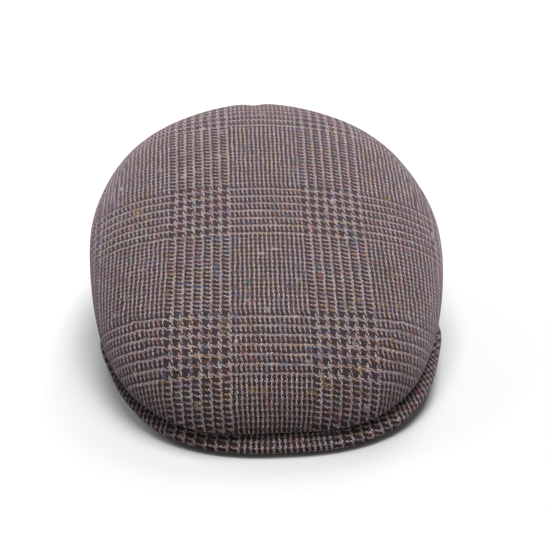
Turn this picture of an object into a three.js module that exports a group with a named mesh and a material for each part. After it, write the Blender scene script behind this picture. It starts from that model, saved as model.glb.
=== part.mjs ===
// An ivy cap: a cloth crown of one top panel and two side panels, rolled over a stiff peak.
// Millimetres, +Z up. The peak points along -Y and the cap rests on z = 0.
import * as THREE from "three";

// Cloth
const WALL = 2; // tweed with its backing
const SEAM_GAP = 0.3; // between sewn edges
const FOLD_GAP = 0.4; // between the front fold's hem and the peak
const PEAK_THICKNESS = 4;

// Head opening: an oval that lies on the table at the back and rises evenly to the forehead
const OPENING_WIDTH = 169;
const OPENING_LENGTH = 208;
const OPENING_CENTRE_Y = 22;
const REST_Y = 90; // the hem lies on the table behind this
const OPENING_SLOPE = 0.22;
const LIFT_EASE = 15; // length over which the hem leaves the table
const TEMPLE = 80; // bearing of the ends of the peak

// Crown
const CENTRE_Y = 10; // bearings turn about this point of the centre line
const HALF_WIDTH = 104;
const CAMBER = 8; // fall of the top from the centre line to the sides
const FOLD_TUCK = 11; // how far the front fold is turned back under itself
const FRONT_LEAN = 2.5; // the front of the crown sits this far to the left of the peak
const LEAN_START = -5; // distances in front of the origin between which it leans
const LEAN_END = 90;

// Places on the path from the crown's centre (0) over its widest line (1) down to the hem (2)
const SHOULDER = 0.8; // the seam between the top and side panels
const HEM = 2;
const PLACE_NUDGE = 0.004; // small steps that find the slope of the cloth
const BEARING_NUDGE = 0.2;
const CORNER_START = 50; // bearings between which the seam climbs from the peak to the shoulder
const CORNER_END = 104;
const CORNER_EASE = 2.5; // more is steeper at the peak and flatter at the shoulder
const PANEL_START = 52; // bearing of the front end of a side panel

// Dart at the centre back of the top panel
const DART = { depth: 1.6, halfWidth: 5, tipY: 84, fullY: 112 };

// Height of the centre line before its ends roll over, from front to back
const CENTRE_LINE = [
  { y: -130, z: 30 },
  { y: -115, z: 38 },
  { y: -80, z: 53 },
  { y: -40, z: 68 },
  { y: 15, z: 85 },
  { y: 70, z: 99.5 },
  { y: 100, z: 105.5 },
  { y: 139, z: 109 },
];

// The widest line round the crown, by bearing: 0 is the peak, 180 the back. The roll above it is
// squarer with a higher number, and the wall below it first falls by the given drop.
const OUTLINE = [
  { bearing: 0, reach: 142, height: 11.5, square: 12, drop: 2 },
  { bearing: 18, reach: 144.5, height: 12.5, square: 12, drop: 2 },
  { bearing: 32, reach: 137, height: 17, square: 11, drop: 3 },
  { bearing: 46, reach: 124, height: 25, square: 9, drop: 7 },
  { bearing: 60, reach: 113, height: 36, square: 8, drop: 14 },
  { bearing: 74, reach: 106, height: 46, square: 7.5, drop: 20 },
  { bearing: 90, reach: 103, height: 54, square: 6.5, drop: 28 },
  { bearing: 110, reach: 104.5, height: 59, square: 5.5, drop: 32 },
  { bearing: 130, reach: 110.5, height: 63, square: 5, drop: 34 },
  { bearing: 152, reach: 120, height: 62, square: 4.2, drop: 34 },
  { bearing: 180, reach: 129, height: 60, square: 4, drop: 34 },
];

// The outer edge of the peak, by bearing. From there its top climbs to the head opening.
const PEAK = [
  { bearing: 0, reach: 149, height: 4 },
  { bearing: 14, reach: 149.2, height: 4 },
  { bearing: 26, reach: 145, height: 6 },
  { bearing: 38, reach: 134.5, height: 10.5 },
  { bearing: 50, reach: 121.5, height: 15 },
  { bearing: 62, reach: 111, height: 18 },
  { bearing: 72, reach: 98, height: 18.5 },
  { bearing: TEMPLE, reach: 86, height: 17.5 },
];
const PEAK_BEND = 0.28; // 0 is a straight slope, more is steeper at the outer edge
const PEAK_STEPS = 7;

// Fineness of the walls: bearing steps for each stretch round the crown, and rows along the path
const STRETCHES = [
  { to: 48, step: 6 },
  { to: 76, step: 3.5 },
  { to: 148, step: 6 },
  { to: 180, step: 3.2 },
];
const CROWN_INNER_ROWS = 9; // rows from the centre to the place where the roll begins
const ROLL_START = 0.68;
const CROWN_ROLL_ROWS = 9; // rows from there to the edge of the top panel
const SIDE_ROWS = 7;

const MATERIAL = { color: 0x71635f, roughness: 0.95, metalness: 0 };
const radians = THREE.MathUtils.degToRad;
const smooth = THREE.MathUtils.smoothstep;

// A smooth curve through one column of a table
function curveOf(rows, along, column, levelEnds) {
  const last = rows.length - 1;
  const slopes = rows.map((row, i) => {
    if (levelEnds && (i === 0 || i === last)) return 0;
    const before = rows[Math.max(i - 1, 0)];
    const after = rows[Math.min(i + 1, last)];
    return (after[column] - before[column]) / (after[along] - before[along]);
  });
  return (place) => {
    const at = THREE.MathUtils.clamp(place, rows[0][along], rows[last][along]);
    const i = Math.max(rows.findIndex((row) => row[along] >= at), 1);
    const span = rows[i][along] - rows[i - 1][along];
    const t = (at - rows[i - 1][along]) / span;
    const eased = t * t * (3 - 2 * t);
    return (
      rows[i - 1][column] * (1 - eased) + rows[i][column] * eased +
      span * t * (1 - t) * (slopes[i - 1] * (1 - t) - slopes[i] * t)
    );
  };
}

const centreLine = curveOf(CENTRE_LINE, "y", "z", false);
const outline = {
  reach: curveOf(OUTLINE, "bearing", "reach", true),
  height: curveOf(OUTLINE, "bearing", "height", true),
  square: curveOf(OUTLINE, "bearing", "square", true),
  drop: curveOf(OUTLINE, "bearing", "drop", true),
};
const peakEdge = {
  reach: curveOf(PEAK, "bearing", "reach", false),
  height: curveOf(PEAK, "bearing", "height", false),
};

// The point at a bearing and a reach from the crown's centre, seen from above
function planPoint(bearing, reach) {
  const turn = radians(bearing);
  return { x: reach * Math.sin(turn), y: CENTRE_Y - reach * Math.cos(turn) };
}

// Reach of the oval head opening at a bearing
function openingReach(bearing) {
  const turn = radians(bearing);
  const across = Math.sin(turn) / (OPENING_WIDTH / 2);
  const along = -Math.cos(turn) / (OPENING_LENGTH / 2);
  const offset = (CENTRE_Y - OPENING_CENTRE_Y) / (OPENING_LENGTH / 2);
  const a = across * across + along * along;
  const b = along * offset;
  return (-b + Math.sqrt(b * b - a * (offset * offset - 1))) / a;
}

// Height of the hem round the head opening
function openingHeight(y) {
  const ahead = Math.max(REST_Y - y, 0);
  return (OPENING_SLOPE * ahead * ahead) / (ahead + LIFT_EASE);
}

// Height of the top of the peak
function peakTop(bearing, reach) {
  const away = bearing > 180 ? 360 - bearing : Math.abs(bearing);
  const outer = peakEdge.reach(away);
  const inner = openingReach(away);
  const edge = peakEdge.height(away);
  const climb = openingHeight(planPoint(away, inner).y) - FOLD_GAP - edge;
  const inwards = (outer - reach) / (outer - inner);
  return edge + climb * inwards * (1 + PEAK_BEND - PEAK_BEND * inwards);
}

// How far the front of the crown leans to the left
function lean(y) {
  return FRONT_LEAN * smooth(-y, LEAN_START, LEAN_END);
}

// Height of the top of the peak under a point of the leaning crown
function peakUnder({ x, y }) {
  const fromCentre = new THREE.Vector2(CENTRE_Y - y, x - lean(y));
  return peakTop(THREE.MathUtils.radToDeg(fromCentre.angle()), fromCentre.length());
}

// Where the lower edge of the crown lies: on the peak in front, round the head opening behind
function hem(bearing) {
  const away = Math.abs(bearing);
  const behind = smooth(away, CORNER_START, TEMPLE);
  const folded = outline.reach(away) - FOLD_TUCK;
  const reach = THREE.MathUtils.lerp(folded, openingReach(away), behind);
  const place = planPoint(bearing, reach);
  const z = away < TEMPLE ? peakUnder(place) + FOLD_GAP : openingHeight(place.y);
  return { reach, z };
}

// How deep the dart pulls the cloth in
function dartDepth(x, y) {
  const across = Math.exp(-((x / DART.halfWidth) ** 2));
  return DART.depth * across * smooth(y, DART.tipY, DART.fullY);
}

// The top of the crown, from its centre (place 0) to its widest line (place 1)
function topSkin(bearing, place) {
  const away = Math.abs(bearing);
  const ring = Math.sin((place * Math.PI) / 2);
  const { x, y } = planPoint(bearing, ring * outline.reach(away));
  const sheet = centreLine(y) - CAMBER * (x / HALF_WIDTH) ** 2 - dartDepth(x, y);
  const edge = outline.height(away);
  const roll = Math.sqrt(1 - ring ** outline.square(away));
  return new THREE.Vector3(x, y, edge + (sheet - edge) * roll);
}

// The wall below the widest line, curving in to the hem (place 1 to 2)
function lowerSkin(bearing, place) {
  const away = Math.abs(bearing);
  const t = place - 1;
  const end = hem(bearing);
  const bend = (1 - t) * (1 - t);
  const knee = 2 * t * (1 - t);
  const reach = outline.reach(away) * (bend + knee) + end.reach * t * t;
  const edge = outline.height(away);
  const z = edge * bend + (edge - outline.drop(away)) * knee + end.z * t * t;
  const { x, y } = planPoint(bearing, reach);
  return new THREE.Vector3(x, y, z);
}

// The outside of the crown at a bearing and a place on the path from its centre to its hem
function skin(bearing, place) {
  const point = place <= 1 ? topSkin(bearing, place) : lowerSkin(bearing, place);
  point.x -= lean(point.y);
  return point;
}

// Direction out of the cloth
function skinNormal(bearing, place) {
  if (place < PLACE_NUDGE) {
    const across = skin(90, PLACE_NUDGE).sub(skin(-90, PLACE_NUDGE));
    const along = skin(180, PLACE_NUDGE).sub(skin(0, PLACE_NUDGE));
    return across.cross(along).normalize();
  }
  const lower = skin(bearing, Math.min(place + PLACE_NUDGE, HEM));
  const down = lower.sub(skin(bearing, place - PLACE_NUDGE));
  const round = skin(bearing + BEARING_NUDGE, place).sub(skin(bearing - BEARING_NUDGE, place));
  return down.cross(round).normalize();
}

// One line of wall points, outside and inside, along a bearing. The hem lies flat all round.
function wallColumn(bearing, places) {
  const outer = places.map((place) => skin(bearing, place));
  const inner = places.map((place, i) => {
    const inwards = skinNormal(bearing, place);
    const atHem = place === HEM && Math.abs(bearing) > PANEL_START;
    if (atHem) inwards.setZ(0).normalize();
    return outer[i].clone().addScaledVector(inwards, -WALL);
  });
  return { outer, inner };
}

// A closed cloth wall from its columns. A ring of columns meets itself, and starts in one point.
function clothWall(columns, isRing) {
  const rows = columns[0].outer.length;
  const points = [];
  const number = new Map();
  const cornerOf = (side, column, row) => {
    const i = isRing && row === 0 ? 0 : column % columns.length;
    const key = `${side} ${i} ${row}`;
    if (!number.has(key)) {
      number.set(key, points.length / 3);
      points.push(...columns[i][side][row].toArray());
    }
    return number.get(key);
  };
  const faces = [];
  const quad = (a, b, c, d) => {
    if (a !== b && b !== c && c !== a) faces.push(a, b, c);
    if (a !== c && c !== d && d !== a) faces.push(a, c, d);
  };
  const spans = isRing ? columns.length : columns.length - 1;
  const out = (i, j) => cornerOf("outer", i, j);
  const inn = (i, j) => cornerOf("inner", i, j);
  const end = rows - 1;
  for (let i = 0; i < spans; i++) {
    for (let j = 0; j < end; j++) {
      quad(out(i, j), out(i, j + 1), out(i + 1, j + 1), out(i + 1, j));
      quad(inn(i, j), inn(i + 1, j), inn(i + 1, j + 1), inn(i, j + 1));
    }
    quad(out(i, end), inn(i, end), inn(i + 1, end), out(i + 1, end));
    if (!isRing) quad(out(i, 0), out(i + 1, 0), inn(i + 1, 0), inn(i, 0));
  }
  for (let j = 0; j < end && !isRing; j++) {
    quad(out(0, j), inn(0, j), inn(0, j + 1), out(0, j + 1));
    quad(out(spans, j), out(spans, j + 1), inn(spans, j + 1), inn(spans, j));
  }
  const geometry = new THREE.BufferGeometry();
  geometry.setAttribute("position", new THREE.Float32BufferAttribute(points, 3));
  geometry.setIndex(faces);
  geometry.computeVertexNormals();
  return geometry;
}

// Bearings from the peak to the back, finer where the cloth turns more
function bearingsToBack() {
  const bearings = [0];
  let from = 0;
  for (const { to, step } of STRETCHES) {
    const count = Math.round((to - from) / step);
    for (let i = 1; i <= count; i++) bearings.push(from + ((to - from) * i) / count);
    from = to;
  }
  return bearings;
}

// Place of the lower edge of the top panel: the hem over the peak, the shoulder seam elsewhere
function seamPlace(bearing) {
  const toGo = (CORNER_END - Math.abs(bearing)) / (CORNER_END - CORNER_START);
  return SHOULDER + (HEM - SHOULDER) * THREE.MathUtils.clamp(toGo, 0, 1) ** CORNER_EASE;
}

function spacedPlaces(from, to, rows) {
  return Array.from({ length: rows + 1 }, (_, i) => (i === rows ? to : from + ((to - from) * i) / rows));
}

function topPanel() {
  const half = bearingsToBack();
  const mirrored = half.slice(1, -1).reverse().map((bearing) => -bearing);
  const inner = spacedPlaces(0, ROLL_START, CROWN_INNER_ROWS);
  const columns = [...half, ...mirrored].map((bearing) => {
    const roll = spacedPlaces(ROLL_START, seamPlace(bearing), CROWN_ROLL_ROWS);
    return wallColumn(bearing, [...inner, ...roll.slice(1)]);
  });
  return clothWall(columns, true);
}

// The place a seam gap below the top panel's edge
function belowSeam(bearing) {
  const edge = seamPlace(bearing);
  const step = skin(bearing, edge).distanceTo(skin(bearing, edge + PLACE_NUDGE));
  return edge + (SEAM_GAP * PLACE_NUDGE) / step;
}

function sidePanel(side) {
  const backGap = THREE.MathUtils.radToDeg(SEAM_GAP / 2 / outline.reach(180));
  const middle = bearingsToBack().filter((bearing) => bearing > PANEL_START && bearing < 180);
  const bearings = [PANEL_START, ...middle, 180 - backGap].map((bearing) => side * bearing);
  const columns = bearings.map((bearing) => {
    return wallColumn(bearing, spacedPlaces(belowSeam(bearing), HEM, SIDE_ROWS));
  });
  return clothWall(side > 0 ? columns : columns.reverse(), false);
}

// A section of the peak along a bearing, as one closed loop: top, rounded edge, underside
function peakSection(bearing) {
  const away = Math.abs(bearing);
  const outer = peakEdge.reach(away);
  const inner = openingReach(away);
  const round = PEAK_THICKNESS / 2;
  const loop = [];
  const add = (reach, z) => {
    const { x, y } = planPoint(bearing, reach);
    loop.push(new THREE.Vector3(x, y, Math.max(z, 0)));
  };
  const reaches = Array.from({ length: PEAK_STEPS + 1 }, (_, i) => {
    return THREE.MathUtils.lerp(inner, outer - round / 2, i / PEAK_STEPS);
  });
  reaches.forEach((reach) => add(reach, peakTop(bearing, reach)));
  add(outer, peakEdge.height(away) - round);
  reaches.reverse().forEach((reach) => add(reach, peakTop(bearing, reach) - PEAK_THICKNESS));
  return loop;
}

function peakPlate() {
  const half = bearingsToBack().filter((bearing) => bearing < TEMPLE);
  const right = [...half, TEMPLE];
  const bearings = [...right.slice(1).reverse().map((bearing) => -bearing), ...right];
  const loops = bearings.map(peakSection);
  const size = loops[0].length;
  const points = loops.flatMap((loop) => loop.flatMap((point) => point.toArray()));
  const faces = [];
  for (let i = 0; i + 1 < loops.length; i++) {
    for (let j = 0; j < size; j++) {
      const next = (j + 1) % size;
      const [a, b] = [i * size + j, i * size + next];
      faces.push(a, b, b + size, a, b + size, a + size);
    }
  }
  const lastLoop = (loops.length - 1) * size;
  for (let j = 0; j < PEAK_STEPS; j++) {
    const [a, b] = [j, j + 1];
    const [c, d] = [size - 2 - j, size - 1 - j];
    faces.push(a, c, b, a, d, c);
    faces.push(lastLoop + a, lastLoop + b, lastLoop + c, lastLoop + a, lastLoop + c, lastLoop + d);
  }
  const [tipTop, tip, tipBottom] = [PEAK_STEPS, PEAK_STEPS + 1, PEAK_STEPS + 2];
  faces.push(tipTop, tipBottom, tip);
  faces.push(lastLoop + tipTop, lastLoop + tip, lastLoop + tipBottom);
  const geometry = new THREE.BufferGeometry();
  geometry.setAttribute("position", new THREE.Float32BufferAttribute(points, 3));
  geometry.setIndex(faces);
  geometry.computeVertexNormals();
  return geometry;
}

function piece(name, geometry) {
  const mesh = new THREE.Mesh(geometry, new THREE.MeshStandardMaterial(MATERIAL));
  mesh.name = name;
  return mesh;
}

const cap = new THREE.Group();
cap.add(piece("crown_top", topPanel()));
cap.add(piece("side_right", sidePanel(1)));
cap.add(piece("side_left", sidePanel(-1)));
cap.add(piece("peak", peakPlate()));

export default cap;
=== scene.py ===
"""An ivy cap in brown glen check tweed, dressed over its frame: three sewn panels and a stiff peak.

Sizes in the tables are millimetres, in the frame's axes: the peak points along -Y and +Z is up.
"""

import math

import bpy
import numpy as np
from mathutils import Matrix, Vector


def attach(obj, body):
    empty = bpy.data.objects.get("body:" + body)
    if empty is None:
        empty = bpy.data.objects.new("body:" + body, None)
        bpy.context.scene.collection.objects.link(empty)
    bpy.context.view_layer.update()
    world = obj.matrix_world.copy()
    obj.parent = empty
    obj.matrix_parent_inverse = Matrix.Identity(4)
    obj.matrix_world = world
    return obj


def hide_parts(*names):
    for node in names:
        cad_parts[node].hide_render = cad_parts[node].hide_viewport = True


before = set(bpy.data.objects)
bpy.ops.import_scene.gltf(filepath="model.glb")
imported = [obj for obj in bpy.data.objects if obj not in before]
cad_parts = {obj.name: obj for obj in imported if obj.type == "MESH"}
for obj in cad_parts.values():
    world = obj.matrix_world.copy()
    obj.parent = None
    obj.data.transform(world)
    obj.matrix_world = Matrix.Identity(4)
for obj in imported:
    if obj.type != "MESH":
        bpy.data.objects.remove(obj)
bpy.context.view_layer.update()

MM = 0.001

# Cloth
WALL = 2.0
EDGE_ROUND = 1.6  # length over which a panel's edge rounds off
FOLD_GAP = 0.4
PEAK_THICKNESS = 4.0
PEAK_ROUND = 2.2

# Head opening: an oval that lies on the table at the back and rises evenly to the forehead
OPENING_WIDTH = 169
OPENING_LENGTH = 208
OPENING_CENTRE_Y = 22
REST_Y = 90
OPENING_SLOPE = 0.22
LIFT_EASE = 15
TEMPLE = 80

# Crown
CENTRE_Y = 10
HALF_WIDTH = 104
CAMBER = 8
FOLD_TUCK = 11
FRONT_LEAN = 2.5
LEAN_START = -5
LEAN_END = 90

# Places on the path from the crown's centre (0) over its widest line (1) down to the hem (2)
SHOULDER = 0.8
HEM = 2.0
CORNER_START = 50
CORNER_END = 104
CORNER_EASE = 2.5
PANEL_START = 52

DART = dict(depth=1.6, half_width=5, tip_y=84, full_y=112)

CENTRE_LINE = [
    dict(y=-130, z=30),
    dict(y=-115, z=38),
    dict(y=-80, z=53),
    dict(y=-40, z=68),
    dict(y=15, z=85),
    dict(y=70, z=99.5),
    dict(y=100, z=105.5),
    dict(y=139, z=109),
]

# The widest line round the crown, by bearing: 0 is the peak, 180 the back
OUTLINE = [
    dict(bearing=0, reach=142, height=11.5, square=12, drop=2),
    dict(bearing=18, reach=144.5, height=12.5, square=12, drop=2),
    dict(bearing=32, reach=137, height=17, square=11, drop=3),
    dict(bearing=46, reach=124, height=25, square=9, drop=7),
    dict(bearing=60, reach=113, height=36, square=8, drop=14),
    dict(bearing=74, reach=106, height=46, square=7.5, drop=20),
    dict(bearing=90, reach=103, height=54, square=6.5, drop=28),
    dict(bearing=110, reach=104.5, height=59, square=5.5, drop=32),
    dict(bearing=130, reach=110.5, height=63, square=5, drop=34),
    dict(bearing=152, reach=120, height=62, square=4.2, drop=34),
    dict(bearing=180, reach=129, height=60, square=4, drop=34),
]

PEAK = [
    dict(bearing=0, reach=149, height=4),
    dict(bearing=14, reach=149.2, height=4),
    dict(bearing=26, reach=145, height=6),
    dict(bearing=38, reach=134.5, height=10.5),
    dict(bearing=50, reach=121.5, height=15),
    dict(bearing=62, reach=111, height=18),
    dict(bearing=72, reach=98, height=18.5),
    dict(bearing=TEMPLE, reach=86, height=17.5),
]
PEAK_BEND = 0.28

# Fineness of the meshes
CROWN_COLUMNS = 288
CROWN_INNER_ROWS = 44
CROWN_ROLL_ROWS = 44
ROLL_START = 0.68
SIDE_COLUMNS = 150
SIDE_ROWS = 40
PEAK_COLUMNS = 180
PEAK_ROWS = 36
EDGE_STEPS = (0.0, 0.05, 0.2, 0.45, 0.9, 1.6)  # distances from a panel's edge, close together
SIDE_LENGTH = 246  # of a side panel laid flat
NO_THICKNESS = 1e-6  # half thickness at which the two faces of a cloth meet
FLAT_STEP = 3  # the panels are laid flat on every third line of their grids
FRONT_WIDTH = 0.8  # shares of the baking map's width for the two faces of a cloth
BACK_START = 0.81
BACK_WIDTH = 0.19
PLACE_NUDGE = 0.004
BEARING_NUDGE = 0.2

# Weave: threads in the bands of the check and between them
WARP_PITCH = 0.645
WEFT_PITCH = 0.76
BAND_THREADS = 56
BAND_STRIPE = 8  # threads in a dark and a light stripe together
FINE_STRIPE = 4
WARP_BETWEEN = 64
WEFT_BETWEEN = 72
TWILL_REPEAT = 4
FLOAT_ARCH = 0.6  # share of a thread's height that its arch over the others takes
WANDER_RATE = 0.13
RAGGED_RATE = 1.3
LIGHT_THIN = 0.05  # share of a stripe by which a dark thread's edges stand over its light neighbours

# Lie of the cloth: corners of the check from the crown's middle and from the middle of the peak's edge
CHECK_ORIGIN = (21.0, -36.2)
PEAK_ORIGIN = (21.0, -47.0)
WARP_TILT = 0.025
WEFT_FALL = 0.04
WEFT_BOW = dict(rise=0.00115, none_at=-113, full_at=-16)

# Yarn colours, red, green and blue out of 255
DARK_SHADES = [
    (0.36, (20, 12, 10)),
    (0.42, (52, 33, 22)),
    (0.47, (28, 18, 18)),
    (0.52, (58, 27, 32)),
    (0.57, (28, 27, 42)),
    (0.63, (32, 33, 23)),
]
LIGHT_SHADES = [
    (0.36, (194, 162, 132)),
    (0.42, (192, 167, 156)),
    (0.47, (200, 180, 177)),
    (0.52, (198, 167, 171)),
    (0.57, (182, 177, 192)),
    (0.63, (192, 184, 163)),
]
FLECK_COLOURS = [
    (0.0, (150, 84, 62)),
    (0.22, (124, 52, 58)),
    (0.38, (78, 98, 140)),
    (0.54, (66, 112, 124)),
    (0.64, (112, 84, 132)),
    (0.76, (160, 142, 84)),
    (0.88, (94, 112, 80)),
    (0.95, (226, 214, 208)),
]
FLECK_SPREADS = [
    dict(across=3.4, along=7.0, shift=3.7),
    dict(across=7.5, along=3.2, shift=11.3),
]  # mm
FLECK_RADIUS = 0.44
FLECK_EDGE = 3.5
FLECK_SHARE = 0.25
FLECK_STRENGTH = 0.2
FLECK_VARIES = 0.5
SHADE_RATE = 0.06  # changes of shade to a millimetre of yarn
PAIR_STEP = 7.31  # steps through the noise from one pair of threads, or one thread, to the next
THREAD_STEP = 3.7
FIBRE_RATE = 1.5
FIBRE_CONTRAST = 4.2
THREAD_CONTRAST = 2.2
# Painted shade: the weft, lying lower than the warp floats, is darkened
WEFT_PAINTED_SHADE = 0.82
# Light fuzz fibres over the cloth; the same lightening also stands in for a painted sheen haze over
# the darks
FUZZ_AND_SHEEN_COLOUR = (160, 140, 142)
FUZZ_AND_SHEEN_RATE = 1.9
FUZZ_AND_SHEEN_START = 0.47
FUZZ_AND_SHEEN_STRENGTH = 1.25
HAZE_TINT = (0.88, 0.72, 0.86)
HAZE_ROUGHNESS = 0.45
CROWN_HAZE = 0.5
PEAK_HAZE = 0.35
TWEED_ROUGHNESS = 0.95
TWEED_SHINE = 0.15
BUMP_STRENGTH = 0.7
BUMP_DEPTH = 0.25

# Camera, fitted to the photograph
IMAGE_SIZE = 550
CAMERA_TURN = -4.0
CAMERA_RISE = 28.0
CAMERA_DISTANCE = 915.6
CAMERA_TARGET = (0, 0, 45)
FOCAL_PIXELS = 1557
SENSOR = 36
FRAME_SHIFT = (8.68, -17.26)  # pixels

# Studio, in metres and watts: two lights on everything and one on the floor alone
LIGHTS = [
    dict(name="overhead", place=(0.15, 0.45, 2.3), size=1.5, power=66),
    dict(name="behind", place=(0.6, 1.6, 1.25), size=0.8, power=24),
]
FLOOR_WASH = dict(name="floor_wash", place=(-1.0, 0.6, 0.7), size=0.8, power=8)
WORLD_LIGHT = 0.24
FLOOR_HALF = 3.0
FLOOR_BOUNCE = (0.3, 0.3, 0.3, 1)  # the floor's tone as it lights the cap, and as it is seen
FLOOR_SEEN = (0.63, 0.63, 0.63, 1)


# Shape of the cap


def smooth(value, low, high):
    t = np.clip((value - low) / (high - low), 0, 1)
    return t * t * (3 - 2 * t)


def curve_of(rows, along, column, level_ends):
    """A smooth curve through one column of a table."""
    at = np.array([row[along] for row in rows], float)
    values = np.array([row[column] for row in rows], float)
    before = np.maximum(np.arange(len(at)) - 1, 0)
    after = np.minimum(np.arange(len(at)) + 1, len(at) - 1)
    slopes = (values[after] - values[before]) / (at[after] - at[before])
    if level_ends:
        slopes[0] = slopes[-1] = 0

    def curve(place):
        place = np.clip(place, at[0], at[-1])
        i = np.clip(np.searchsorted(at, place), 1, len(at) - 1)
        span = at[i] - at[i - 1]
        t = (place - at[i - 1]) / span
        eased = t * t * (3 - 2 * t)
        bow = slopes[i - 1] * (1 - t) - slopes[i] * t
        return values[i - 1] * (1 - eased) + values[i] * eased + span * t * (1 - t) * bow

    return curve


centre_line = curve_of(CENTRE_LINE, "y", "z", False)
outline_reach = curve_of(OUTLINE, "bearing", "reach", True)
outline_height = curve_of(OUTLINE, "bearing", "height", True)
outline_square = curve_of(OUTLINE, "bearing", "square", True)
outline_drop = curve_of(OUTLINE, "bearing", "drop", True)
peak_reach = curve_of(PEAK, "bearing", "reach", False)
peak_height = curve_of(PEAK, "bearing", "height", False)


def plan_point(bearing, reach):
    turn = np.radians(bearing)
    return reach * np.sin(turn), CENTRE_Y - reach * np.cos(turn)


def opening_reach(bearing):
    turn = np.radians(bearing)
    across = np.sin(turn) / (OPENING_WIDTH / 2)
    along = -np.cos(turn) / (OPENING_LENGTH / 2)
    offset = (CENTRE_Y - OPENING_CENTRE_Y) / (OPENING_LENGTH / 2)
    a = across * across + along * along
    b = along * offset
    return (-b + np.sqrt(b * b - a * (offset * offset - 1))) / a


def opening_height(y):
    ahead = np.maximum(REST_Y - y, 0)
    return OPENING_SLOPE * ahead * ahead / (ahead + LIFT_EASE)


def peak_top(bearing, reach):
    away = np.abs((bearing + 180) % 360 - 180)
    outer = peak_reach(away)
    inner = opening_reach(away)
    edge = peak_height(away)
    climb = opening_height(plan_point(away, inner)[1]) - FOLD_GAP - edge
    inwards = (outer - reach) / (outer - inner)
    return edge + climb * inwards * (1 + PEAK_BEND - PEAK_BEND * inwards)


def lean(y):
    return FRONT_LEAN * smooth(-y, LEAN_START, LEAN_END)


def peak_under(x, y):
    leaning = x - lean(y)
    ahead = CENTRE_Y - y
    return peak_top(np.degrees(np.arctan2(leaning, ahead)), np.hypot(leaning, ahead))


def hem(bearing):
    """Reach and height of the crown's lower edge."""
    away = np.abs(bearing)
    behind = smooth(away, CORNER_START, TEMPLE)
    folded = outline_reach(away) - FOLD_TUCK
    reach = folded * (1 - behind) + opening_reach(away) * behind
    x, y = plan_point(bearing, reach)
    return reach, np.where(away < TEMPLE, peak_under(x, y) + FOLD_GAP, opening_height(y))


def dart_depth(x, y):
    across = np.exp(-((x / DART["half_width"]) ** 2))
    return DART["depth"] * across * smooth(y, DART["tip_y"], DART["full_y"])


def skin(bearing, place):
    """Points on the outside of the crown, by bearing and by place on the path from centre to hem."""
    bearing, place = np.broadcast_arrays(np.asarray(bearing, float), np.asarray(place, float))
    away = np.abs(bearing)
    reach = outline_reach(away)
    edge = outline_height(away)

    ring = np.sin(np.minimum(place, 1) * math.pi / 2)
    top_x, top_y = plan_point(bearing, ring * reach)
    sheet = centre_line(top_y) - CAMBER * (top_x / HALF_WIDTH) ** 2 - dart_depth(top_x, top_y)
    roll = np.sqrt(np.maximum(1 - ring ** outline_square(away), 0))
    top_z = edge + (sheet - edge) * roll

    t = np.maximum(place - 1, 0)
    hem_reach, hem_z = hem(bearing)
    bend = (1 - t) ** 2
    knee = 2 * t * (1 - t)
    low_x, low_y = plan_point(bearing, reach * (bend + knee) + hem_reach * t * t)
    low_z = edge * bend + (edge - outline_drop(away)) * knee + hem_z * t * t

    on_top = place <= 1
    x = np.where(on_top, top_x, low_x)
    y = np.where(on_top, top_y, low_y)
    z = np.where(on_top, top_z, low_z)
    return np.stack([x - lean(y), y, z], -1)


def skin_normal(bearing, place):
    """Directions out of the cloth."""
    bearing, place = np.broadcast_arrays(np.asarray(bearing, float), np.asarray(place, float))
    start = np.maximum(place - PLACE_NUDGE, PLACE_NUDGE)
    end = np.clip(place + PLACE_NUDGE, 3 * PLACE_NUDGE, HEM)
    down = skin(bearing, end) - skin(bearing, start)
    beside = np.maximum(place, 2 * PLACE_NUDGE)
    around = skin(bearing + BEARING_NUDGE, beside) - skin(bearing - BEARING_NUDGE, beside)
    normal = np.cross(down, around)
    return normal / np.linalg.norm(normal, axis=-1, keepdims=True)


def seam_place(bearing):
    """Place of the lower edge of the top panel."""
    to_go = (CORNER_END - np.abs(bearing)) / (CORNER_END - CORNER_START)
    return SHOULDER + (HEM - SHOULDER) * np.clip(to_go, 0, 1) ** CORNER_EASE


# Meshes


def lengths_along(points, axis):
    """Distance of each grid point from the start of its line of points."""
    steps = np.linalg.norm(np.diff(points, axis=axis), axis=-1)
    travelled = np.cumsum(steps, axis=axis)
    start = np.zeros_like(np.take(travelled, [0], axis=axis))
    return np.concatenate([start, travelled], axis=axis)


def rounded(edge_distance, thickness, round_length):
    """Half the thickness of cloth, falling to nothing round an edge."""
    inside = np.clip(edge_distance / round_length, 0, 1)
    return thickness / 2 * np.sqrt(1 - (1 - inside) ** 2)


def edge_fractions(rows, length):
    """Fractions of a length, evenly spaced, with close rows at both ends."""
    low = np.array(EDGE_STEPS) / length
    high = 1 - low[::-1]
    between = np.linspace(low[-1], high[0], rows + 1)[1:-1]
    return np.concatenate([low, between, high])


def grid_faces(rows, columns, is_ring):
    """Faces of a grid of points numbered row by row, facing along columns cross rows."""
    faces = []
    for row in range(rows - 1):
        for column in range(columns if is_ring else columns - 1):
            beside = (column + 1) % columns
            a, b = row * columns + column, row * columns + beside
            faces.append((a, a + columns, b + columns, b))
    return faces


def drop_repeats(face):
    return tuple(dict.fromkeys(face))


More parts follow.
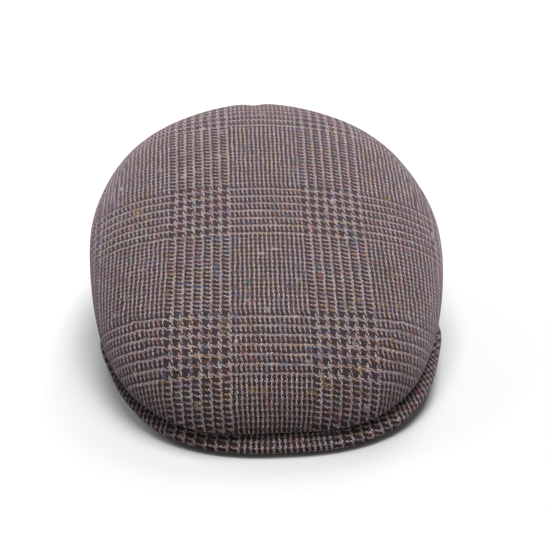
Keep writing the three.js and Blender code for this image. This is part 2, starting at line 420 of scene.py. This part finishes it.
def shell_mesh(name, middle, normal, half, cloth, is_ring):
    """A closed cloth wall round a grid of middle points, with its cloth map on both faces."""
    rows, columns = middle.shape[:2]
    outer = (middle + normal * half[..., None]).reshape(-1, 3)
    inner = (middle - normal * half[..., None]).reshape(-1, 3)
    count = rows * columns
    number = np.arange(2 * count)
    if is_ring:
        number[:columns] = 0
        number[count:count + columns] = count
    shared = np.flatnonzero(half.ravel() < NO_THICKNESS)
    number[count + shared] = number[shared]
    used, number = np.unique(number, return_inverse=True)
    points = np.concatenate([outer, inner])[used]
    sides = grid_faces(rows, columns, is_ring)
    front = [drop_repeats(number[list(face)]) for face in sides]
    back = [drop_repeats(number[[count + i for i in reversed(face)]]) for face in sides]
    faces = [face for face in front + back if len(face) > 2]
    mesh = bpy.data.meshes.new(name)
    mesh.from_pydata((points * MM).tolist(), [], faces)
    mesh.polygons.foreach_set("use_smooth", [True] * len(faces))
    front_count = sum(len(face) > 2 for face in front)
    add_cloth_maps(mesh, np.concatenate([cloth, cloth])[used], front_count)
    mesh.validate()
    return mesh


def add_cloth_maps(mesh, cloth, front_count):
    """The map that the weave follows, and one for baking, with the two faces side by side."""
    corners = np.zeros(len(mesh.loops), int)
    mesh.loops.foreach_get("vertex_index", corners)
    flat = cloth[corners]
    layer = mesh.uv_layers.new(name="cloth")
    layer.uv.foreach_set("vector", flat.astype(np.float32).ravel())
    unit = (flat - cloth.min(0)) / np.ptp(cloth, axis=0)
    is_back = np.arange(len(mesh.loops)) >= mesh.polygons[front_count].loop_start
    unit[:, 0] = np.where(is_back, BACK_START + BACK_WIDTH * unit[:, 0], FRONT_WIDTH * unit[:, 0])
    baked = mesh.uv_layers.new(name="OFBake")
    baked.uv.foreach_set("vector", unit.astype(np.float32).ravel())
    mesh.uv_layers.active = layer


def every_third(count):
    """Numbers of every third line of a grid, and of its last."""
    return np.unique(np.append(np.arange(0, count, FLAT_STEP), count - 1))


def unwrapped(points, faces):
    """Flat places of a mesh's points, laid flat with the least stretch."""
    mesh = bpy.data.meshes.new("flat_cut")
    mesh.from_pydata(points.tolist(), [], faces)
    cut = bpy.data.objects.new("flat_cut", mesh)
    bpy.context.scene.collection.objects.link(cut)
    bpy.context.view_layer.objects.active = cut
    bpy.ops.object.mode_set(mode="EDIT")
    bpy.ops.mesh.select_all(action="SELECT")
    bpy.ops.uv.unwrap(method="MINIMUM_STRETCH", margin=0)
    bpy.ops.object.mode_set(mode="OBJECT")
    corners = np.zeros(len(mesh.loops), int)
    mesh.loops.foreach_get("vertex_index", corners)
    at_corners = np.zeros(len(mesh.loops) * 2, np.float32)
    mesh.uv_layers.active.uv.foreach_get("vector", at_corners)
    flat = np.zeros((len(points), 2))
    flat[corners] = at_corners.reshape(-1, 2)
    bpy.data.objects.remove(cut)
    bpy.data.meshes.remove(mesh)
    return flat


def flatten(fine_points, is_ring):
    """Flat cloth coordinates of a grid of points, found on every third line."""
    fine_rows, fine_columns = fine_points.shape[:2]
    row_at = every_third(fine_rows)
    column_at = np.arange(0, fine_columns, FLAT_STEP) if is_ring else every_third(fine_columns)
    points = fine_points[row_at][:, column_at]
    rows, columns = points.shape[:2]
    number = np.arange(rows * columns)
    if is_ring:
        number[:columns] = 0
    used, number = np.unique(number, return_inverse=True)
    faces = [drop_repeats(number[list(face)]) for face in grid_faces(rows, columns, is_ring)]
    flat = unwrapped(points.reshape(-1, 3)[used], faces)[number].reshape(rows, columns, 2)
    if is_ring:
        flat = np.concatenate([flat, flat[:, :1]], axis=1)
        column_at = np.append(column_at, fine_columns)
    flat = between_lines(flat, row_at, fine_rows, 0)
    return between_lines(flat, column_at, fine_columns, 1)


def between_lines(values, known, count, axis):
    """Values on every line of a grid, from those on some of its lines."""
    at = np.arange(count)
    high = np.clip(np.searchsorted(known, at), 1, len(known) - 1)
    share = (at - known[high - 1]) / (known[high] - known[high - 1])
    share = share.reshape([-1 if i == axis else 1 for i in range(values.ndim)])
    below = np.take(values, high - 1, axis=axis)
    return below + (np.take(values, high, axis=axis) - below) * share


def laid_straight(flat, points, low, high, right):
    """Flat coordinates at true scale, turned so that grid place high is straight above low."""
    along = flat[high] - flat[low]
    turn = math.atan2(along[0], along[1])
    cosine, sine = math.cos(turn), math.sin(turn)
    turned = (flat - flat[low]) @ np.array([[cosine, sine], [-sine, cosine]])
    if turned[right][0] < 0:
        turned[..., 0] *= -1
    true = np.linalg.norm(np.diff(points, axis=0), axis=-1).sum()
    drawn = np.linalg.norm(np.diff(turned, axis=0), axis=-1).sum()
    return turned * (true / drawn)


def crown_top():
    bearings = np.arange(CROWN_COLUMNS) * 360 / CROWN_COLUMNS
    bearings = np.where(bearings > 180, bearings - 360, bearings)
    edge = seam_place(bearings)
    last_step = skin(bearings, edge) - skin(bearings, edge - PLACE_NUDGE)
    per_place = np.linalg.norm(last_step, axis=-1) / PLACE_NUDGE
    inner = np.linspace(0, ROLL_START, CROWN_INNER_ROWS + 1)[:-1, None] + 0 * bearings
    last = edge - EDGE_STEPS[-1] / per_place
    share = np.linspace(0, 1, CROWN_ROLL_ROWS + 1)[:-1, None]
    roll = ROLL_START + (last - ROLL_START) * share
    border = edge - np.array(EDGE_STEPS[::-1])[:, None] / per_place
    places = np.concatenate([inner, roll, border])
    surface = skin(bearings, places)
    normal = skin_normal(bearings, places)
    travelled = lengths_along(surface, 0)
    half = rounded(travelled[-1] - travelled, WALL, EDGE_ROUND)
    middle = surface - normal * WALL / 2
    back_column = CROWN_COLUMNS // 2
    right_column = CROWN_COLUMNS // 4
    flat = flatten(surface, True)
    rows = len(places) // 2
    flat = laid_straight(flat, surface, (rows, 0), (rows, back_column), (rows, right_column))
    return middle, normal, half, laid_on_crown(flat - flat[0, 0])


def laid_on_crown(flat):
    """Cloth coordinates on the crown, where the threads run a little aslant and the weft bows."""
    across, along = flat[..., 0], flat[..., 1]
    bow = WEFT_BOW["rise"] * smooth(along, WEFT_BOW["none_at"], WEFT_BOW["full_at"])
    warp = across - WARP_TILT * along
    weft = along + WEFT_FALL * across + bow * across ** 2
    return np.stack([warp, weft], -1) - CHECK_ORIGIN


def side_panel(side):
    share = edge_fractions(SIDE_COLUMNS, SIDE_LENGTH)
    bearings = PANEL_START + (180 - PANEL_START) * share
    top = seam_place(bearings)
    down_the_panel = np.linspace(0, 1, SIDE_ROWS)[:, None]
    height = lengths_along(skin(bearings, top + (HEM - top) * down_the_panel), 0)[-1]
    places = []
    for column in range(len(bearings)):
        fractions = edge_fractions(SIDE_ROWS, height[column])
        places.append(top[column] + (HEM - top[column]) * fractions)
    places = np.array(places).T
    turned = bearings * side
    if side < 0:
        turned = turned[::-1]
        places = places[:, ::-1]
    surface = skin(turned, places)
    normal = skin_normal(turned, places)
    down = lengths_along(surface, 0)
    across = lengths_along(surface, 1)
    from_edge = np.minimum.reduce([down, down[-1] - down, across, across[:, -1:] - across])
    half = rounded(from_edge, WALL, EDGE_ROUND)
    middle = surface - normal * WALL / 2
    flat = flatten(surface, False)
    column = len(turned) // 2
    flat = laid_straight(flat, surface, (-1, column), (0, column), (0, -1))
    return middle, normal, half, flat


def peak_plate():
    share = np.linspace(-1, 1, PEAK_COLUMNS)
    bearings = TEMPLE * share
    away = np.abs(bearings)
    outer = peak_reach(away)
    inner = opening_reach(away)
    width = outer - inner
    fractions = [edge_fractions(PEAK_ROWS, length) for length in width]
    reach = inner + width * np.array(fractions).T
    x, y = plan_point(bearings, reach)
    z = peak_top(bearings, reach)
    surface = np.stack([x, y, z], -1)
    down = np.gradient(surface, axis=0)
    around = np.gradient(surface, axis=1)
    normal = np.cross(down, around)
    normal /= np.linalg.norm(normal, axis=-1, keepdims=True)
    inwards = lengths_along(surface, 0)
    across = lengths_along(surface, 1)
    from_edge = np.minimum.reduce([inwards, inwards[-1] - inwards, across, across[:, -1:] - across])
    half = rounded(from_edge, PEAK_THICKNESS, PEAK_ROUND)
    middle = surface - normal * PEAK_THICKNESS / 2
    centre = PEAK_COLUMNS // 2
    flat = laid_straight(flatten(surface, False), surface, (-1, centre), (0, centre), (0, -1))
    flat = flat - PEAK_ORIGIN
    return middle, normal, half, flat


def piece(name, parts, material, is_ring=False):
    middle, normal, half, flat = parts
    mesh = shell_mesh(name, middle, normal, half, flat.reshape(-1, 2), is_ring)
    mesh.materials.append(material)
    obj = bpy.data.objects.new(name, mesh)
    bpy.context.scene.collection.objects.link(obj)
    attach(obj, "root")
    return obj


def cloth_panel(name, parts, material, stands_for, is_ring=False):
    """A sewn panel of the crown in place of its solid."""
    obj = piece(name, parts, material, is_ring)
    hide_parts(stands_for)


# Materials


class NodeSums:
    """Places nodes in a node tree and links values to their sockets."""

    def __init__(self, tree):
        self.tree = tree

    def node(self, kind, **settings):
        made = self.tree.nodes.new(kind)
        for name, value in settings.items():
            setattr(made, name, value)
        return made

    def feed(self, socket, value):
        if isinstance(value, bpy.types.NodeSocket):
            self.tree.links.new(value, socket)
        else:
            socket.default_value = value

    def math(self, operation, *values):
        made = self.node("ShaderNodeMath", operation=operation)
        for socket, value in zip(made.inputs, values):
            self.feed(socket, value)
        return made.outputs[0]

    def clamp(self, value):
        """A number kept between 0 and 1."""
        made = self.node("ShaderNodeClamp")
        self.feed(made.inputs["Value"], value)
        return made.outputs[0]

    def choose(self, mask, if_none, if_all):
        """A number between two, by a mask."""
        made = self.node("ShaderNodeMix", data_type="FLOAT")
        for socket, value in zip((made.inputs[0], *made.inputs[2:4]), (mask, if_none, if_all)):
            self.feed(socket, value)
        return made.outputs[0]

    def blend(self, mask, if_none, if_all, way="MIX"):
        """A colour between two, by a mask."""
        made = self.node("ShaderNodeMix", data_type="RGBA", blend_type=way)
        for socket, value in zip((made.inputs[0], *made.inputs[6:8]), (mask, if_none, if_all)):
            self.feed(socket, value)
        return made.outputs[2]

    def vector(self, x, y, z):
        made = self.node("ShaderNodeCombineXYZ")
        for socket, value in zip(made.inputs, (x, y, z)):
            self.feed(socket, value)
        return made.outputs[0]

    def parts(self, vector):
        made = self.node("ShaderNodeSeparateXYZ")
        self.feed(made.inputs[0], vector)
        return made.outputs

    def noise(self, vector, scale, detail=2.0):
        made = self.node("ShaderNodeTexNoise")
        self.feed(made.inputs["Vector"], vector)
        self.feed(made.inputs["Scale"], scale)
        self.feed(made.inputs["Detail"], detail)
        return made.outputs

    def ramp(self, value, stops, interpolation="LINEAR"):
        """A colour from a row of (place, colour) stops."""
        made = self.node("ShaderNodeValToRGB")
        ramp = made.color_ramp
        ramp.interpolation = interpolation
        while len(ramp.elements) < len(stops):
            ramp.elements.new(1.0)
        for element, (place, colour) in zip(ramp.elements, stops):
            element.position = place
            element.color = (*linear(colour), 1)
        self.feed(made.inputs[0], value)
        return made.outputs[0]


def linear(colour):
    """Scene-linear values of a colour given as red, green and blue out of 255."""
    shares = [part / 255 for part in colour]
    return [s / 12.92 if s <= 0.04045 else ((s + 0.055) / 1.055) ** 2.4 for s in shares]


def new_group(name, inputs, outputs):
    """A shader node group with its named sockets, and the nodes that hold them."""
    tree = bpy.data.node_groups.new(name, "ShaderNodeTree")
    for socket, kind, value in inputs:
        made = tree.interface.new_socket(socket, in_out="INPUT", socket_type=kind)
        if value is not None:
            made.default_value = value
    for socket, kind in outputs:
        tree.interface.new_socket(socket, in_out="OUTPUT", socket_type=kind)
    sums = NodeSums(tree)
    return tree, sums, sums.node("NodeGroupInput").outputs, sums.node("NodeGroupOutput").inputs


def stripe(sums, place, between):
    """Place in the check's repeat, counted in threads, and how many threads its stripes have there."""
    in_repeat = sums.math("FLOORED_MODULO", place, float(BAND_THREADS + between))
    in_band = sums.math("LESS_THAN", in_repeat, float(BAND_THREADS))
    return in_repeat, sums.choose(in_band, float(FINE_STRIPE), float(BAND_STRIPE))


def crowded(sums, place, between, sign):
    """A place counted in threads, where the light threads are thinner than the dark ones."""
    in_repeat, pair = stripe(sums, place, between)
    turn = sums.math("MULTIPLY", sums.math("DIVIDE", in_repeat, pair), 2 * math.pi)
    most = sums.math("MULTIPLY", pair, sign * LIGHT_THIN)
    shift = sums.math("MULTIPLY", sums.math("COSINE", turn), most)
    return sums.math("ADD", place, shift)


def second_half(sums, thread, between):
    """1 for a thread in the second half of its stripe."""
    in_repeat, pair = stripe(sums, thread, between)
    step = sums.math("FLOORED_MODULO", in_repeat, pair)
    return sums.math("GREATER_THAN", sums.math("ADD", step, 0.5), sums.math("MULTIPLY", pair, 0.5))


def hump(sums, share):
    """A round hump from 0 over 1 back to 0."""
    rest = sums.math("SUBTRACT", 1.0, share)
    return sums.math("MULTIPLY", sums.math("MULTIPLY", share, rest), 4.0)


def weave_group():
    """A two and two twill of a dark and a light yarn, coloured as a glen check."""
    tree, sums, given, result = new_group(
        "Glen check weave",
        [
            ("Cloth", "NodeSocketVector", None),
            ("Wander", "NodeSocketFloat", 1.3),
            ("Ragged", "NodeSocketFloat", 0.9),
        ],
        [
            ("Dark", "NodeSocketFloat"),
            ("Height", "NodeSocketFloat"),
            ("Yarn", "NodeSocketVector"),
        ],
    )
    across, along, _ = sums.parts(given["Cloth"])
    for rate, reach in ((WANDER_RATE, given["Wander"]), (RAGGED_RATE, given["Ragged"])):
        drift = sums.parts(sums.noise(given["Cloth"], rate)["Color"])
        across = sums.math("MULTIPLY_ADD", sums.math("SUBTRACT", drift[0], 0.5), reach, across)
        along = sums.math("MULTIPLY_ADD", sums.math("SUBTRACT", drift[1], 0.5), reach, along)
    warp_place = crowded(sums, sums.math("DIVIDE", across, WARP_PITCH), WARP_BETWEEN, 1)
    weft_place = crowded(sums, sums.math("DIVIDE", along, WEFT_PITCH), WEFT_BETWEEN, -1)
    warp = sums.math("FLOOR", warp_place)
    weft = sums.math("FLOOR", weft_place)
    twill = sums.math("FLOORED_MODULO", sums.math("ADD", warp, weft), float(TWILL_REPEAT))
    warp_on_top = sums.math("LESS_THAN", twill, TWILL_REPEAT / 2)

    dark_warp = sums.math("SUBTRACT", 1.0, second_half(sums, warp, WARP_BETWEEN))
    dark_weft = second_half(sums, weft, WEFT_BETWEEN)
    sums.feed(result["Dark"], sums.choose(warp_on_top, dark_weft, dark_warp))

    side_of_warp = sums.math("FRACT", warp_place)
    side_of_weft = sums.math("FRACT", weft_place)
    beside = hump(sums, sums.choose(warp_on_top, side_of_weft, side_of_warp))
    float_step = sums.choose(warp_on_top, side_of_warp, side_of_weft)
    float_place = sums.math("FLOORED_MODULO", sums.math("ADD", twill, float_step), TWILL_REPEAT / 2)
    arch = hump(sums, sums.math("MULTIPLY", float_place, 2 / TWILL_REPEAT))
    raised = sums.math("MULTIPLY_ADD", arch, FLOAT_ARCH, 1 - FLOAT_ARCH)
    sums.feed(result["Height"], sums.math("MULTIPLY", beside, raised))

    thread = sums.choose(warp_on_top, sums.math("ADD", weft, 0.5), warp)
    run = sums.choose(warp_on_top, across, along)
    sums.feed(result["Yarn"], sums.vector(thread, run, warp_on_top))
    return tree


def flecks(sums, cloth, spread):
    """Soft coloured flecks spun into the yarn: a mask and their colours."""
    across, along, _ = sums.parts(cloth)
    place = [sums.math("MULTIPLY_ADD", way, 1 / size, spread["shift"])
             for way, size in ((across, spread["across"]), (along, spread["along"]))]
    cells = sums.node("ShaderNodeTexVoronoi", voronoi_dimensions="2D")
    sums.feed(cells.inputs["Vector"], sums.vector(place[0], place[1], 0.0))
    sums.feed(cells.inputs["Scale"], 1.0)
    chance, hue, weight = sums.parts(cells.outputs["Color"])
    near = sums.math("SUBTRACT", FLECK_RADIUS, cells.outputs["Distance"])
    soft = sums.clamp(sums.math("MULTIPLY", near, FLECK_EDGE))
    present = sums.math("LESS_THAN", chance, FLECK_SHARE)
    strength = sums.math("MULTIPLY_ADD", weight, FLECK_VARIES, FLECK_STRENGTH)
    mask = sums.math("MULTIPLY", sums.math("MULTIPLY", soft, present), strength)
    return mask, sums.ramp(hue, FLECK_COLOURS, "CONSTANT")


def yarn_group():
    """The colour of a heathered yarn: its shades and flecks, painted shade on and between the threads
    and on the lower weft, and light fuzz that also paints a sheen haze.
    """
    tree, sums, given, result = new_group(
        "Heathered yarn",
        [
            ("Dark", "NodeSocketFloat", 0.0),
            ("Height", "NodeSocketFloat", 1.0),
            ("Yarn", "NodeSocketVector", None),
            ("Cloth", "NodeSocketVector", None),
            ("Flecks", "NodeSocketFloat", 1.0),
            ("Shade", "NodeSocketFloat", 0.8),
        ],
        [("Color", "NodeSocketColor")],
    )
    thread, run, side = sums.parts(given["Yarn"])
    pair = sums.math("FLOOR", sums.math("MULTIPLY", thread, 0.5))
    along_yarn = sums.math("MULTIPLY", run, SHADE_RATE)
    own = sums.vector(sums.math("MULTIPLY", pair, PAIR_STEP), along_yarn, side)
    shades = sums.noise(own, 1.0)["Fac"]
    dark = sums.ramp(shades, DARK_SHADES)
    light = sums.ramp(shades, LIGHT_SHADES)
    yarn = sums.blend(given["Dark"], light, dark)

    for spread in FLECK_SPREADS:
        mask, tint = flecks(sums, given["Cloth"], spread)
        yarn = sums.blend(sums.math("MULTIPLY", mask, given["Flecks"]), yarn, tint)

    fibres = sums.noise(given["Cloth"], FIBRE_RATE)["Fac"]
    dim = sums.math("MULTIPLY_ADD", sums.math("SUBTRACT", fibres, 0.5), FIBRE_CONTRAST, 1.0)
    single = sums.vector(sums.math("MULTIPLY", thread, THREAD_STEP), along_yarn, side)
    thick = sums.math("SUBTRACT", sums.noise(single, 1.0, 3.0)["Fac"], 0.5)
    dim = sums.math("MULTIPLY", dim, sums.math("MULTIPLY_ADD", thick, THREAD_CONTRAST, 1.0))
    # Painted shade on the weft threads, which lie lower than the warp floats
    dim = sums.math("MULTIPLY", dim, sums.choose(side, WEFT_PAINTED_SHADE, 1.0))
    # Painted shade: each thread darkens towards its edges and the ends of its float, and the crevices
    # between threads darken, by the weave's height
    painted_thread_shade = sums.math("MULTIPLY", sums.math("SUBTRACT", 1.0, given["Height"]), given["Shade"])
    value = sums.math("MULTIPLY", dim, sums.math("SUBTRACT", 1.0, painted_thread_shade))
    grey = sums.vector(value, value, value)
    shaded = sums.blend(1.0, yarn, grey, "MULTIPLY")
    # Light fuzz fibres and painted sheen haze: the cloth lightened towards a pale mauve in noisy
    # patches
    hair_and_sheen_noise = sums.math("SUBTRACT", sums.noise(given["Cloth"], FUZZ_AND_SHEEN_RATE, 1.0)["Fac"], FUZZ_AND_SHEEN_START)
    fuzz_and_sheen = sums.clamp(sums.math("MULTIPLY", hair_and_sheen_noise, FUZZ_AND_SHEEN_STRENGTH))
    sums.feed(result["Color"], sums.blend(fuzz_and_sheen, shaded, (*linear(FUZZ_AND_SHEEN_COLOUR), 1)))
    return tree


def tweed(name, weave, yarn, haze):
    """Tweed that follows the cloth map."""
    material = bpy.data.materials.new(name)
    material.use_nodes = True
    sums = NodeSums(material.node_tree)
    shader = material.node_tree.nodes["Principled BSDF"]
    cloth = sums.node("ShaderNodeUVMap", uv_map="cloth").outputs[0]
    woven = sums.node("ShaderNodeGroup", node_tree=weave)
    sums.feed(woven.inputs["Cloth"], cloth)
    coloured = sums.node("ShaderNodeGroup", node_tree=yarn)
    sums.feed(coloured.inputs["Cloth"], cloth)
    for socket in ("Dark", "Height", "Yarn"):
        sums.feed(coloured.inputs[socket], woven.outputs[socket])
    sums.feed(shader.inputs["Base Color"], coloured.outputs["Color"])
    bump = sums.node("ShaderNodeBump")
    bump.inputs["Strength"].default_value = BUMP_STRENGTH
    bump.inputs["Distance"].default_value = BUMP_DEPTH * MM
    sums.feed(bump.inputs["Height"], woven.outputs["Height"])
    sums.feed(shader.inputs["Normal"], bump.outputs["Normal"])
    shader.inputs["Roughness"].default_value = TWEED_ROUGHNESS
    shader.inputs["Specular IOR Level"].default_value = TWEED_SHINE
    shader.inputs["Sheen Weight"].default_value = haze
    shader.inputs["Sheen Roughness"].default_value = HAZE_ROUGHNESS
    shader.inputs["Sheen Tint"].default_value = (*HAZE_TINT, 1)
    return material


# Stage


def floor_material():
    material = bpy.data.materials.new("pale_floor")
    material.use_nodes = True
    sums = NodeSums(material.node_tree)
    shader = material.node_tree.nodes["Principled BSDF"]
    seen = sums.node("ShaderNodeLightPath").outputs["Is Camera Ray"]
    tone = sums.blend(seen, FLOOR_BOUNCE, FLOOR_SEEN)
    sums.feed(shader.inputs["Base Color"], tone)
    shader.inputs["Roughness"].default_value = 1.0
    shader.inputs["Specular IOR Level"].default_value = 0.0
    return material


def make_floor():
    mesh = bpy.data.meshes.new("floor")
    signs = [(-1, -1), (1, -1), (1, 1), (-1, 1)]
    corners = [(x * FLOOR_HALF, y * FLOOR_HALF, 0) for x, y in signs]
    mesh.from_pydata(corners, [], [(0, 1, 2, 3)])
    mesh.materials.append(floor_material())
    floor = bpy.data.objects.new("floor", mesh)
    bpy.context.scene.collection.objects.link(floor)
    return floor


def soft_light(name, place, size, power):
    lamp = bpy.data.lights.new(name, "AREA")
    lamp.size = size
    lamp.energy = power
    light = bpy.data.objects.new(name, lamp)
    bpy.context.scene.collection.objects.link(light)
    light.location = place
    light.rotation_euler = (-Vector(place)).to_track_quat("-Z", "Y").to_euler()
    return light


def light_only(light, obj):
    """Keeps a light to one thing."""
    lit = bpy.data.collections.new(light.name)
    lit.objects.link(obj)
    light.light_linking.receiver_collection = lit


def make_world(strength):
    world = bpy.data.worlds.new("studio")
    bpy.context.scene.world = world
    world.use_nodes = True
    background = world.node_tree.nodes["Background"]
    background.inputs["Color"].default_value = (1, 1, 1, 1)
    background.inputs["Strength"].default_value = strength


def make_camera():
    turn, rise = math.radians(CAMERA_TURN), math.radians(CAMERA_RISE)
    back = Vector((math.sin(turn) * math.cos(rise), -math.cos(turn) * math.cos(rise), math.sin(rise)))
    right = Vector((math.cos(turn), math.sin(turn), 0))
    up = back.cross(right)
    lens = bpy.data.cameras.new("camera")
    lens.sensor_width = SENSOR
    lens.lens = FOCAL_PIXELS / IMAGE_SIZE * SENSOR
    lens.shift_x = FRAME_SHIFT[0] / IMAGE_SIZE
    lens.shift_y = FRAME_SHIFT[1] / IMAGE_SIZE
    camera = bpy.data.objects.new("camera", lens)
    bpy.context.scene.collection.objects.link(camera)
    axes = Matrix((right, up, back)).transposed().to_4x4()
    place = (Vector(CAMERA_TARGET) + back * CAMERA_DISTANCE) * MM
    camera.matrix_world = Matrix.Translation(place) @ axes
    bpy.context.scene.camera = camera


make_camera()
floor = make_floor()
make_world(WORLD_LIGHT)
for row in LIGHTS:
    soft_light(**row)
light_only(soft_light(**FLOOR_WASH), floor)
bpy.context.scene.view_settings.view_transform = "Standard"

weave = weave_group()
yarn = yarn_group()
crown_tweed = tweed("crown_tweed", weave, yarn, CROWN_HAZE)
peak_tweed = tweed("peak_tweed", weave, yarn, PEAK_HAZE)

cloth_panel("crown_panel", crown_top(), crown_tweed, "crown_top", is_ring=True)
cloth_panel("left_panel", side_panel(-1), crown_tweed, "side_left")
cloth_panel("right_panel", side_panel(1), crown_tweed, "side_right")
peak = piece("peak_cover", peak_plate(), peak_tweed)
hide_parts("peak")
